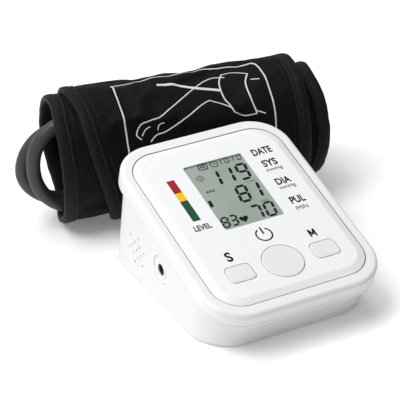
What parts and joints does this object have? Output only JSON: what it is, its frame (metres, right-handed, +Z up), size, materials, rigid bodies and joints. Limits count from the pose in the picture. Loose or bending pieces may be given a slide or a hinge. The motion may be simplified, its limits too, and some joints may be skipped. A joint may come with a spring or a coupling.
{
  "type": "upper arm blood pressure monitor",
  "caption": "Desktop upper arm blood pressure monitor with a sloping display face, push buttons and a side air socket, with its rolled fabric cuff and coiled air tube behind it.",
  "frame": {"origin": "centre of the monitor's footprint on the resting surface", "axes": "+X to the monitor's right as it is read, +Y to its back, +Z up; the air socket faces -X"},
  "size_m": [0.1808, 0.2115, 0.0818],
  "materials": {
    "cover_plastic": "satin moulded ABS, off-white",
    "plate_plastic": "fine matt moulded face, off-white",
    "window_lens": "clear acrylic",
    "case_plastic": "fine textured ABS, off-white",
    "foot_rubber": "matt rubber",
    "button_plastic": "matt moulded, pale grey",
    "keypad_rubber": "silicone",
    "lcd_glass": "reflective liquid crystal, grey-green",
    "inner_plastic": "natural moulded nylon",
    "circuit_board": "solder mask",
    "component_plastic": "black moulding compound",
    "cell_jacket": "printed jacket without a mark",
    "contact_metal": "nickel plated",
    "socket_plastic": "moulded grey plastic",
    "clear_hose": "translucent silicone",
    "motor_steel": "plated steel can",
    "screw_steel": "zinc plated",
    "cuff_fabric": "coated woven nylon, black",
    "cuff_lining": "brushed nylon lining, black",
    "binding_tape": "folded grosgrain tape, black",
    "hook_nylon": "hook tape, black",
    "bladder_film": "polyurethane film",
    "ring_steel": "bent steel wire, plated",
    "tube_rubber": "matt extruded PVC, charcoal",
    "plug_plastic": "moulded, charcoal"
  },
  "bodies": {
    "monitor": {"top_cover": "cover_plastic", "face_plate": "plate_plastic", "display_window": "window_lens", "lower_case": "case_plastic", "rubber_feet": "foot_rubber", "keypad": "keypad_rubber", "lcd_panel": "lcd_glass", "lcd_frame": "inner_plastic", "lcd_contact_strips": "keypad_rubber", "main_board": "circuit_board", "board_components": "component_plastic", "batteries": "cell_jacket", "battery_contacts": "contact_metal", "battery_springs": "contact_metal", "air_socket": "socket_plastic", "air_tee": "inner_plastic", "pressure_sensor": "component_plastic", "pump_hose": "clear_hose", "valve_hose": "clear_hose", "sensor_hose": "clear_hose", "pump_motor": "motor_steel", "motor_sleeve": "foot_rubber", "pump_head": "component_plastic", "release_valve": "motor_steel", "speaker": "component_plastic", "case_screws": "screw_steel", "board_screws": "screw_steel"},
    "power_button": {"power_button": "button_plastic"},
    "set_button": {"set_button": "button_plastic"},
    "memory_button": {"memory_button": "button_plastic"},
    "battery_door": {"battery_door": "case_plastic"},
    "pump_crank": {"pump_crank": "inner_plastic"},
    "valve_plunger": {"valve_plunger": "motor_steel"},
    "cuff": {"cuff_outer_wrap": "cuff_fabric", "cuff_outer_binding": "binding_tape", "cuff_middle_wrap": "cuff_fabric", "cuff_middle_binding": "binding_tape", "cuff_inner_wrap": "cuff_lining", "cuff_inner_binding": "binding_tape", "cuff_bladder": "bladder_film", "cuff_tube": "tube_rubber", "hook_tape": "hook_nylon", "bladder_port": "tube_rubber", "air_plug": "plug_plastic"},
    "pull_ring": {"pull_ring": "ring_steel"}
  },
  "joints": [
    {"name": "power_button_press", "type": "slide", "parent": "monitor", "child": "power_button", "axis": [0, 0.3049, -0.9524], "range_m": [0, 0.0008], "stiffness_N_per_m": 700, "springref_m": -0.0003},
    {"name": "set_button_press", "type": "slide", "parent": "monitor", "child": "set_button", "axis": [0, 0.3049, -0.9524], "range_m": [0, 0.0008], "stiffness_N_per_m": 600, "springref_m": -0.0003},
    {"name": "memory_button_press", "type": "slide", "parent": "monitor", "child": "memory_button", "axis": [0, 0.3049, -0.9524], "range_m": [0, 0.0008], "stiffness_N_per_m": 600, "springref_m": -0.0003},
    {"name": "battery_door_slide", "type": "slide", "parent": "monitor", "child": "battery_door", "axis": [0, 1, 0], "range_m": [0, 0.008]},
    {"name": "pump_crank_spin", "type": "hinge", "parent": "monitor", "child": "pump_crank", "pos_m": [-0.0136, 0.034, 0.0355], "axis": [1, 0, 0], "continuous": true},
    {"name": "valve_plunger_slide", "type": "slide", "parent": "monitor", "child": "valve_plunger", "axis": [-1, 0, 0], "range_m": [0, 0.0007], "stiffness_N_per_m": 60, "springref_m": -0.0005},
    {"name": "cuff_lift_away", "type": "slide", "parent": "monitor", "child": "cuff", "axis": [0.1709, 0.9853, 0], "range_m": [0, 0.05]},
    {"name": "pull_ring_swing", "type": "hinge", "parent": "cuff", "child": "pull_ring", "pos_m": [0.0217, 0.1102, 0.052], "axis": [0.9853, -0.1709, 0], "range_deg": [-25, 4]}
  ]
}
